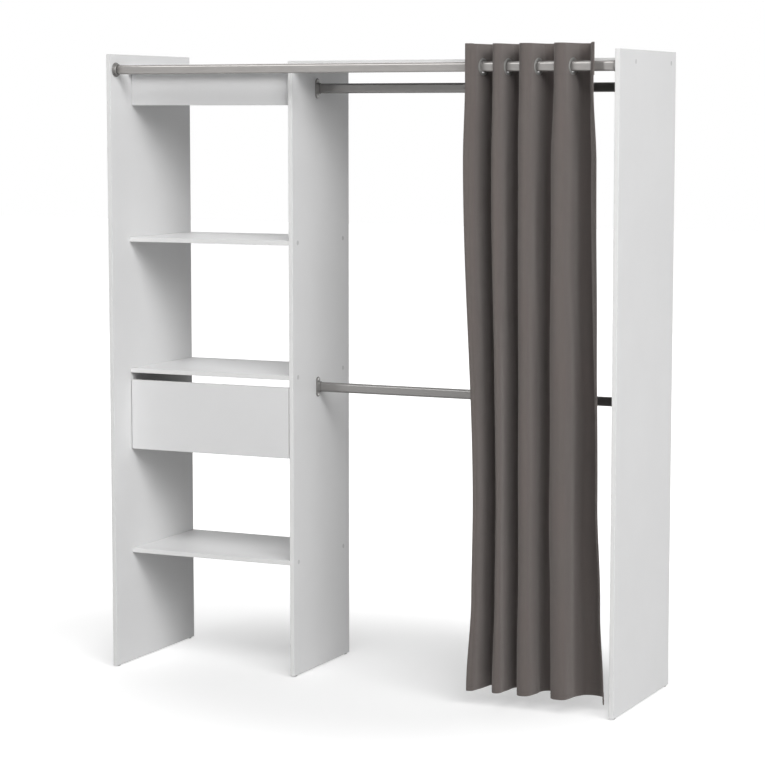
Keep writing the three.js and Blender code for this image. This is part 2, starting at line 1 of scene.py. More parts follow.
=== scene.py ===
import bpy
import json
import math
import numpy as np
from mathutils import Euler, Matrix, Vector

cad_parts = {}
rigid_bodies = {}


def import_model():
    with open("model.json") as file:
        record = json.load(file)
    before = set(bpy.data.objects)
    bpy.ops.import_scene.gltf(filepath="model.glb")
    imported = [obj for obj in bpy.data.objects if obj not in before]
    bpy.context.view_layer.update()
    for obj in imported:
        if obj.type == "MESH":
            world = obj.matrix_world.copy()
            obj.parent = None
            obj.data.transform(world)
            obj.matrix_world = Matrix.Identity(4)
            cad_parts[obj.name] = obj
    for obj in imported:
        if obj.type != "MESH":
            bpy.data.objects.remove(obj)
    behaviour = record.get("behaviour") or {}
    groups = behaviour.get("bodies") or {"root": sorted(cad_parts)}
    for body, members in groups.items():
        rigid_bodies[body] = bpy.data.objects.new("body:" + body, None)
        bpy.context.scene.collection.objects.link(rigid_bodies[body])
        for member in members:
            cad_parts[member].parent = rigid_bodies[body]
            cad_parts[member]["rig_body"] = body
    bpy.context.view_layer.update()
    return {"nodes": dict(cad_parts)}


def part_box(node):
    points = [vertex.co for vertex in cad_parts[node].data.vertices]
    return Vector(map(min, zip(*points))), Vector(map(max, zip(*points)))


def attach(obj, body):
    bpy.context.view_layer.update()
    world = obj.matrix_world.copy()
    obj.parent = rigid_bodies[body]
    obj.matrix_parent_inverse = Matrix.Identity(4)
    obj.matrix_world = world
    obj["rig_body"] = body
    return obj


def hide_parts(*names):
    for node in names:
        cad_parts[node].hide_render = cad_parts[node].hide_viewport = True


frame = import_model()
nodes = frame["nodes"]

# Looks of the open-front wardrobe. The boards stay as the frame gives them and get their finish here;
# the cloth, its eyelets, the tubes, sockets, runners, glides and caps are worked out again with more
# detail, in the same places. Lengths are millimetres until a mesh is made: +X right, +Y back, +Z up.
# In materials, and for the lamps and the camera, they are metres.
MM = 0.001
TINY = 1e-9


# Meshes

def add_piece(name, points, faces, finish, smooth=True):
    """A mesh object from an array of points in millimetres and a list or an array of faces."""
    mesh = bpy.data.meshes.new(name)
    mesh.from_pydata((np.asarray(points, float) * MM).tolist(), [], [list(f) for f in faces])
    mesh.materials.append(finish)
    mesh.polygons.foreach_set("use_smooth", np.full(len(mesh.polygons), smooth))
    mesh.update()
    made = bpy.data.objects.new(name, mesh)
    bpy.context.scene.collection.objects.link(made)
    return made


def seat(made, body, slot, *stands_for):
    """The piece rides on its body and stands for the nodes that it replaces. The slot is not used."""
    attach(made, body)
    if stands_for:
        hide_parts(*stands_for)
    return made


def body_of(node):
    """Name of the body that a node rides on."""
    return nodes[node]["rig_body"]


def stand_in(node, ending, skin, finish, slot, smooth=True):
    """Points and faces as the piece that stands for a node and rides on its body."""
    made = add_piece(node + ending, *skin, FINISHES[finish], smooth)
    return seat(made, body_of(node), slot, node)


def middle_of(node):
    """Centre and size of a node's box in millimetres."""
    low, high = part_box(node)
    return np.array(low + high) / 2 / MM, np.array(high - low) / MM


def grid_faces(rows, columns, close_rows=False, close_columns=False):
    """Quads between neighbours of a grid of points that is stored row by row."""
    r = np.arange(rows if close_rows else rows - 1)[:, None]
    c = np.arange(columns if close_columns else columns - 1)[None, :]
    r_next = (r + 1) % rows
    c_next = (c + 1) % columns
    quads = [r * columns + c, r * columns + c_next, r_next * columns + c_next, r_next * columns + c]
    return np.stack([np.broadcast_to(q, (r.size, c.size)) for q in quads], -1).reshape(-1, 4)


def loft(rings, capped=True):
    """A skin over rings of equally many points, with a flat face over the first and last ring, or
    with the last ring joined to the first."""
    rings = np.asarray(rings, float)
    count, around = rings.shape[:2]
    faces = grid_faces(count, around, close_rows=not capped, close_columns=True).tolist()
    if capped:
        faces.append(list(range(around))[::-1])
        faces.append(list(range((count - 1) * around, count * around)))
    return rings.reshape(-1, 3), faces


def joined(parts):
    """Several skins, each as points and faces, in one."""
    points, faces, start = [], [], 0
    for part_points, part_faces in parts:
        points.append(part_points)
        faces += [[start + i for i in face] for face in part_faces]
        start += len(part_points)
    return np.concatenate(points), faces


def full_turn(count):
    """Evenly spaced angles of a full turn."""
    return np.arange(count) * 2 * math.pi / count


def unit_circle(angles):
    """Cosine and sine, as two columns, of an array of angles."""
    return np.stack([np.cos(angles), np.sin(angles)], -1)


def turned_skin(profile, around, capped=True):
    """A profile of radius and place along X, turned about the X axis."""
    circle = unit_circle(full_turn(around))
    rings = [np.column_stack([np.full(around, x), circle * radius]) for radius, x in profile]
    return loft(rings, capped)


def oval_reach(angles, width, height):
    """Distance from the middle of an upright oval to its edge at each angle. The oval is two half
    circles with straight sides: where the ray meets a side it is half the width over the cosine,
    and elsewhere the ray meets the circle about the middle of a half circle."""
    radius = width / 2
    rise = height / 2 - radius
    c, s = np.abs(np.cos(angles)), np.abs(np.sin(angles))
    on_side = radius * s <= rise * c + TINY
    side = radius / np.maximum(c, TINY)
    arc = rise * s + np.sqrt(np.maximum(radius ** 2 - (rise * c) ** 2, 0))
    return np.where(on_side, side, arc)


def oval_rings(steps, around):
    """Rings of points about the X axis. Each step is x, width and height of an oval; equal width and
    height make a circle. Returns an array of rings, points, and X Y Z."""
    angles = full_turn(around)
    rings = []
    for x, width, height in steps:
        yz = unit_circle(angles) * oval_reach(angles, width, height)[:, None]
        rings.append(np.column_stack([np.full(around, x), yz]))
    return np.array(rings)


def rounded_steps(start, end, count=4, bulge=True):
    """Steps of a quarter round between two steps of a ring profile: x follows a sine and the sizes a
    cosine, or the other way about, so that the corner is convex or a fillet."""
    a = np.linspace(0, math.pi / 2, count + 1)
    sine, cosine = np.sin(a), 1 - np.cos(a)
    x_share, size_share = (sine, cosine) if bulge else (cosine, sine)
    start, end = np.array(start, float), np.array(end, float)
    shares = np.stack([x_share, size_share, size_share], -1)
    return [tuple(step) for step in start + (end - start) * shares]


def placed(points, x, y, z, sign=1):
    """Points made about the X axis, turned half round Z for a piece that faces left, and set down."""
    return np.asarray(points) * [sign, sign, 1] + [x, y, z]


# Shader nodes

def feed(tree, socket, value):
    """A value, or the output of another node, put into a socket."""
    if isinstance(value, bpy.types.NodeSocket):
        tree.links.new(value, socket)
    else:
        socket.default_value = value


def put(tree, inputs, **values):
    """Values or outputs put into sockets, whose names lose their spaces here."""
    for key, value in values.items():
        feed(tree, inputs[key.replace("_", " ")], value)


def place(tree, kind, feeds=None, **settings):
    """One shader node of a kind with its settings; feeds are its inputs by name or number, as values
    or as the outputs of other nodes."""
    made = tree.nodes.new("ShaderNode" + kind)
    for key, value in settings.items():
        setattr(made, key, value)
    for key, value in (feeds or {}).items():
        feed(tree, made.inputs[key], value)
    return made


def sums(tree, operation, a, b=None, c=None, clamp=False):
    """The output of one Math node."""
    feeds = {i: v for i, v in enumerate((a, b, c)) if v is not None}
    return place(tree, "Math", feeds, operation=operation, use_clamp=clamp).outputs[0]


def eased(tree, value, low, high, out_low=0.0, out_high=1.0):
    """A value brought smoothly from one range to another."""
    feeds = {0: value, 1: low, 2: high, 3: out_low, 4: out_high}
    return place(tree, "MapRange", feeds, interpolation_type="SMOOTHSTEP").outputs[0]


def mixed(tree, share, first, second):
    """Two colours mixed by a share."""
    feeds = {0: share, 6: first, 7: second}
    return place(tree, "Mix", feeds, data_type="RGBA").outputs[2]


def varied(tree, share, colour, low, high):
    """A colour that goes from a darker tone of itself to a lighter one."""
    darker, lighter = ([c * factor for c in colour[:3]] + [1] for factor in (low, high))
    return mixed(tree, share, darker, lighter)


def grey(value, warm=0.0):
    """A grey, whose red goes up and whose blue goes down with warm."""
    return (value * (1 + warm), value, value * (1 - warm), 1.0)


def bumped(tree, height, distance):
    """The normal of a surface with relief, whose height times distance is in metres."""
    feeds = {"Height": height, "Distance": distance, "Strength": 1.0}
    return place(tree, "Bump", feeds).outputs[0]


def own_place(tree):
    """Place in the object's own coordinates, which are metres."""
    return place(tree, "TexCoord").outputs["Object"]


def noise(tree, where, scale, detail, roughness, stretch=None):
    """Noise between 0 and 1, drawn out along an axis where stretch makes its scale small."""
    if stretch:
        where = place(tree, "Mapping", {"Vector": where, "Scale": stretch}).outputs[0]
    feeds = {"Vector": where, "Scale": scale, "Detail": detail, "Roughness": roughness}
    return place(tree, "TexNoise", feeds).outputs[0]


def new_group(name, inputs, outputs):
    """An empty group of shader nodes with named inputs and outputs."""
    tree = bpy.data.node_groups.new(name, "ShaderNodeTree")
    for label, kind in inputs:
        tree.interface.new_socket(label, in_out="INPUT", socket_type="NodeSocket" + kind)
    for label in outputs:
        tree.interface.new_socket(label, in_out="OUTPUT", socket_type="NodeSocketFloat")
    return tree, tree.nodes.new("NodeGroupInput").outputs, tree.nodes.new("NodeGroupOutput").inputs


def pearl_group():
    """Pressed surface of coated boards. Relief is fine noise, Cloud is broad noise for tone."""
    tree, given, out = new_group("pearl_surface", [("Grain", "Float")], ["Relief", "Cloud"])
    where = own_place(tree)
    coarse = noise(tree, where, given["Grain"], 3.0, 0.55)
    fine = noise(tree, where, sums(tree, "MULTIPLY", given["Grain"], 2.7), 2.0, 0.6)
    relief = sums(tree, "MULTIPLY_ADD", fine, 0.4, coarse)
    put(tree, out, Relief=relief, Cloud=noise(tree, where, 3.1, 3.0, 0.6))
    return tree


BAND_DEPTH = (0.0003, 0.0008)
FACE_DEPTH = (0.0001, 0.0004)
SEAM_FROM_EDGE = 0.0012
SEAM_BREADTH = (0.0001, 0.0005)
WEAR_REACH = 0.0016


def edge_group():
    """Where a point of a board lies. Along each axis the nearer of the two ends of the board is
    taken; the middle one of the three distances is how far the nearest edge is. Wear is 1 on a worn
    edge, Band is 1 on the narrow faces and Seam is 1 on the glue line beside them."""
    inputs = [("Low", "Vector"), ("High", "Vector"), ("Thin", "Vector"), ("Reach", "Float")]
    tree, given, out = new_group("board_edges", inputs, ["Wear", "Band", "Seam"])
    where = own_place(tree)

    def vectors(operation, a, b):
        made = place(tree, "VectorMath", {0: a, 1: b}, operation=operation)
        return made.outputs["Value" if operation == "DOT_PRODUCT" else "Vector"]

    from_low = vectors("SUBTRACT", where, given["Low"])
    from_high = vectors("SUBTRACT", given["High"], where)
    nearer = vectors("MINIMUM", from_low, from_high)
    axes = place(tree, "SeparateXYZ", {0: nearer}).outputs
    least, most, total = (
        sums(tree, operation, sums(tree, operation, axes[0], axes[1]), axes[2])
        for operation in ("MINIMUM", "MAXIMUM", "ADD")
    )
    edge = sums(tree, "SUBTRACT", sums(tree, "SUBTRACT", total, least), most)
    worn = noise(tree, where, 160.0, 4.0, 0.65)
    reach = sums(tree, "MULTIPLY", given["Reach"], eased(tree, worn, 0.35, 0.75, 0.3, 1.6))
    depth = vectors("DOT_PRODUCT", nearer, given["Thin"])
    off_seam = sums(tree, "ABSOLUTE", sums(tree, "SUBTRACT", edge, SEAM_FROM_EDGE))
    on_face = eased(tree, depth, *FACE_DEPTH, 1.0, 0.0)
    line = eased(tree, off_seam, *SEAM_BREADTH, 1.0, 0.0)
    put(tree, out, Wear=eased(tree, edge, 0.0, reach, 1.0, 0.0),
        Band=eased(tree, depth, *BAND_DEPTH), Seam=sums(tree, "MULTIPLY", line, on_face))
    return tree


def streak_group():
    """Drawn metal. Relief and Tone are noise drawn out along X; Touch is broad smudges."""
    outputs = ["Relief", "Tone", "Touch"]
    tree, given, out = new_group("drawn_streaks", [("Fineness", "Float")], outputs)
    where = own_place(tree)
    put(tree, out, Relief=noise(tree, where, given["Fineness"], 3.0, 0.6, (0.012, 1.0, 1.0)),
        Tone=noise(tree, where, 160.0, 2.0, 0.5, (0.02, 1.0, 1.0)),
        Touch=noise(tree, where, 21.0, 3.0, 0.6))
    return tree


def cast_group():
    """Cast or moulded surface. Relief is fine pits, Cloud is broad tone."""
    tree, given, out = new_group("moulded_surface", [("Grain", "Float")], ["Relief", "Cloud"])
    where = own_place(tree)
    put(tree, out, Relief=noise(tree, where, given["Grain"], 4.0, 0.6),
        Cloud=noise(tree, where, 45.0, 2.0, 0.5))
    return tree


def weave_group():
    """Plain weave on the cloth's own map, whose unit is a metre. Across each thread the height is
    the sine of its place between two gaps; warp and weft take turns on a checker. Slub is noise drawn
    out along both threads, and Cloud is broad tone."""
    outputs = ["Relief", "Gap", "Slub", "Cloud"]
    tree, given, out = new_group("plain_weave", [("Pitch", "Float")], outputs)
    flat = place(tree, "UVMap", uv_map="cloth").outputs[0]
    axes = place(tree, "SeparateXYZ", {0: flat}).outputs
    across, down = (sums(tree, "DIVIDE", axis, given["Pitch"]) for axis in axes[:2])
    warp, weft = (
        sums(tree, "ABSOLUTE", sums(tree, "SINE", sums(tree, "MULTIPLY", count, math.pi)))
        for count in (across, down)
    )
    cell = sums(tree, "ADD", sums(tree, "FLOOR", across), sums(tree, "FLOOR", down))
    turn = sums(tree, "PINGPONG", cell, 1.0)
    over = place(tree, "Mix", {0: turn, 2: warp, 3: weft}).outputs[0]
    under = sums(tree, "MULTIPLY", warp, weft)
    along, cross = (
        noise(tree, flat, 900.0, 2.0, 0.5, stretch)
        for stretch in ((1.0, 0.02, 1.0), (0.02, 1.0, 1.0))
    )
    put(tree, out,
        Relief=sums(tree, "MULTIPLY_ADD", over, 0.6, sums(tree, "MULTIPLY", under, 0.4)),
        # Gap is 1 between the threads, where the cloth is later darkened as painted shade.
        Gap=eased(tree, under, 0.0, 0.3, 1.0, 0.0),
        Slub=sums(tree, "MULTIPLY", sums(tree, "ADD", along, cross), 0.5),
        Cloud=noise(tree, flat, 5.0, 3.0, 0.6))
    return tree


GROUPS = {
    "pearl": pearl_group(),
    "edges": edge_group(),
    "streaks": streak_group(),
    "cast": cast_group(),
    "weave": weave_group(),
}


# Materials

STREAK_RELIEF = 0.000006
THREAD_PITCH = 0.0006
WEAVE_RELIEF = 0.00018


def new_material(name):
    """A material, its tree and the inputs of its shader."""
    made = bpy.data.materials.new(name)
    made.use_nodes = True
    return made, made.node_tree, made.node_tree.nodes["Principled BSDF"].inputs


def effect(tree, group, **values):
    """One of the groups, placed with this material's own values."""
    made = place(tree, "Group", values, node_tree=GROUPS[group])
    return made.outputs


def board_material(name, node, face, band, grain=1500.0, relief=0.00006):
    """Coated board: pearl relief and faint clouds on the faces, a smoother band on the narrow faces,
    a glue line beside it, and edges that are a little rubbed."""
    made, tree, shader = new_material(name)
    low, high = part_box(node)
    thin = [0.0, 0.0, 0.0]
    thin[int(np.argmin(high - low))] = 1.0
    edges = effect(tree, "edges", Low=low, High=high, Thin=thin, Reach=WEAR_REACH)
    pearl = effect(tree, "pearl", Grain=grain)
    tone = varied(tree, eased(tree, pearl["Cloud"], 0.3, 0.7), face, 0.985, 1.01)
    tone = mixed(tree, edges["Band"], tone, band)
    tone = mixed(tree, sums(tree, "MULTIPLY", edges["Seam"], 0.28), tone, grey(0.3, 0.04))
    tone = mixed(tree, sums(tree, "MULTIPLY", edges["Wear"], 0.12), tone, grey(0.42, 0.03))
    rough = eased(tree, pearl["Relief"], 0.4, 1.0, 0.42, 0.56)
    rough = sums(tree, "MULTIPLY_ADD", edges["Band"], -0.08, rough)
    rough = sums(tree, "MULTIPLY_ADD", edges["Wear"], 0.12, rough, clamp=True)
    smoother_band = sums(tree, "MULTIPLY_ADD", edges["Band"], -0.7, 1.0)
    height = sums(tree, "MULTIPLY", pearl["Relief"], smoother_band)
    height = sums(tree, "MULTIPLY_ADD", edges["Seam"], -0.8, height)
    put(tree, shader, Base_Color=tone, Roughness=rough, Normal=bumped(tree, height, relief),
        Specular_IOR_Level=0.2)
    return made


def metal_material(name, colour, roughness, metallic, fineness=2600.0):
    """Drawn metal: fine streaks along X in relief and tone, and smudges that dull it in places."""
    made, tree, shader = new_material(name)
    streaks = effect(tree, "streaks", Fineness=fineness)
    dull = eased(tree, streaks["Touch"], 0.3, 0.75, roughness - 0.02, roughness + 0.04)
    put(tree, shader, Base_Color=varied(tree, streaks["Tone"], colour, 0.93, 1.06),
        Metallic=metallic, Roughness=dull, Normal=bumped(tree, streaks["Relief"], STREAK_RELIEF))
    return made


def cast_material(name, colour, roughness, metallic, grain=900.0, relief=0.00004):
    """Cast metal or moulded plastic: fine pits and broad clouds of tone and gloss."""
    made, tree, shader = new_material(name)
    cast = effect(tree, "cast", Grain=grain)
    cloud = eased(tree, cast["Cloud"], 0.3, 0.7)
    dull = eased(tree, cast["Relief"], 0.3, 0.7, roughness - 0.05, roughness + 0.1)
    put(tree, shader, Base_Color=varied(tree, cloud, colour, 0.92, 1.06), Metallic=metallic,
        Roughness=dull, Normal=bumped(tree, cast["Relief"], relief))
    return made


def cloth_material(name, colour, deep):
    """Woven cloth: threads in relief with gaps darkened by painted shade, slubs, faint warm clouds, and
    a soft sheen.
    """
    made, tree, shader = new_material(name)
    weave = effect(tree, "weave", Pitch=THREAD_PITCH)
    tone = varied(tree, eased(tree, weave["Slub"], 0.35, 0.65), colour, 0.9, 1.1)
    cloud = eased(tree, weave["Cloud"], 0.3, 0.7, 0.0, 0.35)
    warmer = [c * factor for c, factor in zip(colour, (1.06, 0.97, 0.97))] + [1]
    tone = mixed(tree, cloud, tone, warmer)
    # Painted shade: the gaps between the threads are mixed towards the dark colour deep.
    tone = mixed(tree, sums(tree, "MULTIPLY", weave["Gap"], 0.35), tone, list(deep) + [1])
    rough = eased(tree, weave["Slub"], 0.3, 0.7, 0.82, 0.95)
    put(tree, shader, Base_Color=tone, Roughness=rough, Specular_IOR_Level=0.25,
        Sheen_Weight=0.36, Sheen_Roughness=0.5, Sheen_Tint=(0.9, 0.84, 0.81, 1.0),
        Normal=bumped(tree, weave["Relief"], WEAVE_RELIEF))
    return made


WHITE_FACE = (0.69, 0.69, 0.692, 1.0)
WHITE_BAND = (0.73, 0.73, 0.725, 1.0)
DRAWER_FACE = (0.66, 0.66, 0.655, 1.0)
DRAWER_BAND = (0.62, 0.61, 0.59, 1.0)

FINISHES = {
    "curtain_tube": metal_material("satin_curtain_tube", (0.33, 0.318, 0.306), 0.2, 0.45),
    # The hanging tubes are a darker copy of the curtain tube's metal; the darkening is painted shade
    # for the rails that hang in the bay.
    "hanging_tube": metal_material("satin_hanging_tube", (0.235, 0.229, 0.222), 0.22, 0.4),
    "socket_metal": cast_material("satin_socket", (0.2, 0.195, 0.19), 0.42, 0.75),
    "eyelet_metal": cast_material("brushed_eyelet", (0.32, 0.32, 0.31), 0.4, 0.4, 1400.0, 0.00002),
    "runner_steel": metal_material("zinc_runner", (0.55, 0.56, 0.57), 0.38, 1.0, 1500.0),
    # The cloth's second colour is the painted shade in the gaps between its threads.
    "curtain_cloth": cloth_material("curtain_cloth", (0.123, 0.108, 0.101), (0.045, 0.038, 0.035)),
    "glide_plastic": cast_material("glide_plastic", (0.42, 0.42, 0.41), 0.5, 0.0),
    "cap_plastic": cast_material("cap_plastic", (0.5, 0.5, 0.5), 0.45, 0.0, 1600.0),
    "screw": cast_material("zinc_screw", (0.5, 0.5, 0.49), 0.35, 0.9, 2200.0),
    "thread": cast_material("sewing_thread", (0.062, 0.055, 0.05), 0.8, 0.0, 3000.0),
}


# Boards

def finish_boards():
    """Every board of the frame gets its own coated finish, fitted to its box."""
    for name, made in nodes.items():
        if name.startswith(("drawer_side", "drawer_back", "drawer_bottom")):
            foil = "foil_" + name
            finish = board_material(foil, name, DRAWER_FACE, DRAWER_BAND, 2400.0, 0.00003)
        elif name.endswith("panel") or name.startswith(("shelf", "top_", "drawer_front")):
            finish = board_material("melamine_" + name, name, WHITE_FACE, WHITE_BAND)
        else:
            continue
        made.data.materials.clear()
        made.data.materials.append(finish)


# Tubes, sockets and screws

TUBE_WALL = 0.7
TUBE_LIP = 0.3
TUBE_SIDES = 72
SOCKET_SIDES = 96
SOCKET_PLAY = 0.3
SOCKET_FLOOR = 2.4
COLLAR_WALL = 2.2
SCREW_FROM_END = 7.5
SCREW_RADIUS = 3.6
SCREW_RISE = 1.9
SCREW_SIDES = 48


def make_tube(node):
    """Oval tube with thin walls and rounded mouths: the rings run along the outside, turn over the
    mouth in a half round, come back inside, and close on themselves."""
    centre, (length, width, height) = middle_of(node)
    straight = length / 2 - TUBE_LIP
    angles = np.linspace(0, math.pi, 7)
    shrinks = TUBE_WALL - TUBE_WALL * np.cos(angles)

    def mouth(sign):
        return [
            (sign * (straight + TUBE_LIP * math.sin(t)), width - shrink, height - shrink)
            for t, shrink in zip(angles, shrinks)
        ]

    stations = np.linspace(-straight, straight, 9)[1:-1]
    outside = [(x, width, height) for x in stations]
    inside = [(x, width - 2 * TUBE_WALL, height - 2 * TUBE_WALL) for x in stations[::-1]]
    rings = oval_rings(mouth(-1)[::-1] + outside + mouth(1) + inside, TUBE_SIDES)
    points, faces = loft(rings, capped=False)
    finish = "curtain_tube" if node.startswith("curtain") else "hanging_tube"
    stand_in(node, "_tube", (placed(points, *centre), faces), finish, "satin_metal")


def mouth_size(node):
    """Width and height of the oval that a socket holds: the inner tubes end in the curtain rail's
    left socket and in the right sockets of the hanging rails."""
    inner = node.endswith("left" if node.startswith("curtain") else "right")
    low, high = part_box("curtain_rail_inner" if inner else "curtain_rail_outer")
    return tuple((high[i] - low[i]) / MM + 2 * SOCKET_PLAY for i in (1, 2))


def pocket_steps(depth, width, height):
    """The oval pocket of a socket, from its rounded mouth down to its floor."""
    mouth_round, floor_round = 0.6, 0.4
    mouth = (depth, width + 2 * mouth_round, height + 2 * mouth_round)
    return rounded_steps(mouth, (depth - mouth_round, width, height)) + [
        (depth / 2, width, height), (SOCKET_FLOOR + floor_round, width, height),
        (SOCKET_FLOOR, width - 2 * floor_round, height - 2 * floor_round),
    ]


def round_socket_steps(depth, disc):
    """Turned cup: a disc with rounded edges, a fillet up to the collar, and a rounded lip."""
    back, front, thick, fillet, lip, ledge = 0.6, 1.4, 4.0, 1.2, 1.6, 4.8
    collar = disc - 2 * ledge

    def circle(x, size):
        return x, size, size

    steps = rounded_steps(circle(0, disc - 2 * back), circle(back, disc), bulge=False)
    steps += rounded_steps(circle(thick - front, disc), circle(thick, disc - 2 * front), 5)
    steps += rounded_steps(
        circle(thick, collar + 2 * fillet), circle(thick + fillet, collar), 5, bulge=False
    )
    return steps + rounded_steps(circle(depth - lip, collar), circle(depth, collar - 2 * lip), 5)


PLATE_THICK = 3.2


def long_socket_steps(depth, wide, tall, width, height):
    """Long plate with an eased back and a rounded front, a fillet up to an oval collar, and a
    rounded lip. The collar goes round a mouth of the given width and height."""
    ease, ease_deep, front, fillet, lip = 0.4, 0.3, 1.3, 1.0, 1.0
    collar = np.array([width, height]) + 2 * COLLAR_WALL

    def oval(x, grow):
        return (x, *(collar + grow))

    steps = [(0, wide - 2 * ease, tall - 2 * ease), (ease_deep, wide, tall)]
    steps += rounded_steps(
        (PLATE_THICK - front, wide, tall), (PLATE_THICK, wide - 2 * front, tall - 2 * front), 5
    )
    steps += rounded_steps(
        oval(PLATE_THICK, 2 * fillet), oval(PLATE_THICK + fillet, 0), bulge=False
    )
    return steps + rounded_steps(oval(depth - lip, 0), oval(depth, -2 * lip))


def make_socket(node):
    """A round or long socket with its pocket. Returns, for each of its screws, the place and the way
    that it faces."""
    centre, (depth, wide, tall) = middle_of(node)
    sign = 1 if node.endswith("left") else -1
    foot = centre[0] - sign * depth / 2
    mouth = mouth_size(node)
    if node.startswith("curtain"):
        ending, steps, screws = "_cup", round_socket_steps(depth, tall), []
    else:
        ending, steps = "_plate", long_socket_steps(depth, wide, tall, *mouth)
        off = tall / 2 - SCREW_FROM_END
        screws = [
            ((foot + sign * PLATE_THICK, centre[1], centre[2] + side * off), sign)
            for side in (-1, 1)
        ]
    points, faces = loft(oval_rings(steps + pocket_steps(depth, *mouth), SOCKET_SIDES))
    skin = (placed(points, foot, centre[1], centre[2], sign), faces)
    stand_in(node, ending, skin, "socket_metal", "socket_metal")
    return screws


def screw_skin(where, sign):
    """Pan head about the X axis on rings: the radius follows a sine and the height a power of the
    cosine of the same angle, and a cross with sloping arms is pressed into it."""
    arm_half, arm_slope, arm_end, end_slope, deep = 0.62, 0.2, 2.3, 0.5, 1.1
    doming, sunk = 0.8, 0.8
    a = np.linspace(math.pi / 2, 0, 9)[:, None]
    around = full_turn(SCREW_SIDES)[None, :]
    reach = SCREW_RADIUS * np.sin(a)
    y, z = reach * np.cos(around), reach * np.sin(around)
    arm = np.minimum(np.abs(y), np.abs(z))
    pressed = np.clip((arm_half - arm) / arm_slope, 0, 1)
    pressed = pressed * np.clip((arm_end - reach) / end_slope, 0, 1)
    x = np.broadcast_to(SCREW_RISE * np.cos(a) ** doming, y.shape) - deep * pressed
    rings = np.stack([x, y, z], -1)[:-1]
    base = rings[:1] * [0, 1, 1] - [sunk, 0, 0]
    points, faces = loft(np.concatenate([base, rings]))
    return placed(points, *where, sign), faces


def make_rails():
    """All tubes and sockets, and the screws of the long sockets as one piece for each body."""
    screws = {"column": [], "bay": []}
    for node in [n for n in nodes if "rail_" in n]:
        make_tube(node)
    for node in [n for n in nodes if "socket" in n]:
        screws[body_of(node)] += make_socket(node)
    for body, places in screws.items():
        skin = joined([screw_skin(where, sign) for where, sign in places])
        seat(add_piece(f"socket_screws_{body}", *skin, FINISHES["screw"]), body, "socket_metal")


# Runners, glides and caps

RUNNER_WIDE = 12.7
RUNNER_HIGH = 36.0
RUNNER_WALL = 1.2
RUNNER_LIP = 5.0
RUNNER_PLAY = 0.6
RUNNER_BEND = 0.8
RUNNER_END = 0.3
BEND_POINTS = 5
PLASTIC_SIDES = 64


def rounded_outline(corners, radius):
    """A closed outline whose corners are rounded: on each corner's two sides a point is taken at the
    radius, or near the middle of a side that is too short, and the bend is the blend between them by
    way of the corner, with squares of the share."""
    most = 0.45
    corners = np.asarray(corners, float)
    before = np.roll(corners, 1, 0) - corners
    after = np.roll(corners, -1, 0) - corners
    reach_before = np.linalg.norm(before, axis=1, keepdims=True)
    reach_after = np.linalg.norm(after, axis=1, keepdims=True)
    start = corners + before / reach_before * np.minimum(radius, reach_before * most)
    end = corners + after / reach_after * np.minimum(radius, reach_after * most)
    start, middle, end = start[:, None], corners[:, None], end[:, None]
    t = np.linspace(0, 1, BEND_POINTS)[None, :, None]
    return ((1 - t) ** 2 * start + 2 * t * (1 - t) * middle + t ** 2 * end).reshape(-1, 2)


def runner_corners(node, width):
    """Corners of a runner's section. The channel is a C whose lips turn in to the drawer, and the
    member hooks behind them."""
    wall, high = RUNNER_WALL, RUNNER_HIGH
    if "channel" in node:
        lip = RUNNER_LIP
        return [
            (0, 0), (width, 0), (width, lip), (width - wall, lip), (width - wall, wall), (wall, wall),
            (wall, high - wall), (width - wall, high - wall), (width - wall, high - lip),
            (width, high - lip), (width, high), (0, high),
        ]
    web, hook, arm = RUNNER_WIDE - wall, wall + RUNNER_PLAY, RUNNER_LIP + RUNNER_PLAY
    corners = [
        (web + wall, arm), (web + wall, high - arm), (hook + wall, high - arm),
        (hook + wall, high - hook), (hook, high - hook), (hook, high - arm - wall),
        (web, high - arm - wall), (web, arm + wall), (hook, arm + wall), (hook, hook),
        (hook + wall, hook), (hook + wall, arm),
    ]
    return [(across - hook, up) for across, up in corners]


def make_runner(node):
    """Rolled steel section with rounded bends, pushed along Y."""
    centre, (width, length, _) = middle_of(node)
    outline = rounded_outline(runner_corners(node, width), RUNNER_BEND)
    across, up = outline[:, 0] - width / 2, outline[:, 1] - RUNNER_HIGH / 2
    half = length / 2
    rings = np.stack([
        np.column_stack([across, np.full(len(across), y), up])
        for y in (-half, -half + RUNNER_END, half - RUNNER_END, half)
    ])
    if not node.endswith("left"):
        rings = rings[:, ::-1] * [-1, 1, 1]
    points, faces = loft(rings)
    skin = (points + centre, [face[::-1] for face in faces])
    stand_in(node, "_section", skin, "runner_steel", "runner_steel", False)


def rounded_rim(radius, height, edge, count):
    """Profile of a quarter round between a drum's side and its top: a cosine outwards and a sine
    upwards."""
    a = np.linspace(0, math.pi / 2, count)
    return [(radius - edge + edge * math.cos(t), height - edge + edge * math.sin(t)) for t in a]


def make_glide(node):
    """Nail-on glide: a domed foot under a short drum with a rounded edge. The dome starts at a share
    of the radius and follows a sine outwards and a cosine upwards."""
    centre, (width, _, height) = middle_of(node)
    radius, core, flat, dome, edge, count = width / 2, 0.3, 0.62, 1.9, 0.4, 7
    a = np.linspace(0, math.pi / 2, count)
    foot = [(radius * (flat + (1 - flat) * math.sin(t)), dome * (1 - math.cos(t))) for t in a]
    profile = [(radius * core, 0.0)] + foot + rounded_rim(radius, height, edge, count)
    points, faces = turned_skin(profile, PLASTIC_SIDES)
    skin = (points[:, [1, 2, 0]] + centre - [0, 0, height / 2], faces)
    stand_in(node, "_foot", skin, "glide_plastic", "glide_plastic")


